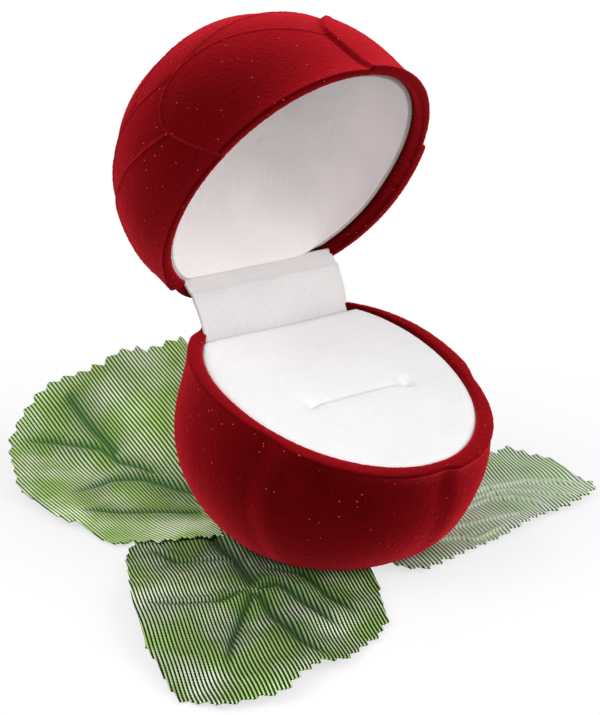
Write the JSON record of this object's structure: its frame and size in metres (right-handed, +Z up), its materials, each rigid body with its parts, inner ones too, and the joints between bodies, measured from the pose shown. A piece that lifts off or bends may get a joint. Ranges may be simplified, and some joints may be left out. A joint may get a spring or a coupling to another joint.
{
  "type": "ring box",
  "caption": "Rose-shaped ring box with a sprung hinged lid of moulded petals, a slotted ring pad, a cloth-lined lid and creased cloth leaves under its foot.",
  "frame": {"origin": "centre of the foot's underside, on the rose's upright axis, on the surface that the box stands on", "axes": "+Z up, -Y towards the front where the lid opens, +X along the hinge pin to the right; the box is stored open"},
  "size_m": [0.0904, 0.0849, 0.0753],
  "materials": {
    "flocked_shell": "deep red flock on a moulded plastic shell",
    "flocked_foam": "white flock on foam",
    "card": "plain moulded or pressed board",
    "lining_cloth": "fine ribbed white cloth",
    "leaf_cloth": "stiffened woven cloth, heat set",
    "disc": "plain green board",
    "steel": "plated spring steel"
  },
  "bodies": {
    "base": {"base_shell": "flocked_shell", "pad_card": "card", "ring_pad": "flocked_foam", "leaf_disc": "disc", "leaf_left": "leaf_cloth", "leaf_front": "leaf_cloth", "leaf_right": "leaf_cloth", "hinge_base_plate": "steel", "hinge_pin": "steel", "base_rivets": "steel", "hinge_spring": "steel", "hinge_cover": "lining_cloth"},
    "lid": {"lid_shell": "flocked_shell", "lid_former": "card", "lid_lining": "lining_cloth", "hinge_lid_plate": "steel", "lid_rivets": "steel"}
  },
  "joints": [
    {"name": "lid_hinge", "type": "hinge", "parent": "base", "child": "lid", "pos_m": [0, 0.02224, 0.03068], "axis": [1, 0, 0], "range_deg": [0, 69], "deforming": ["hinge_spring", "hinge_cover"]}
  ]
}
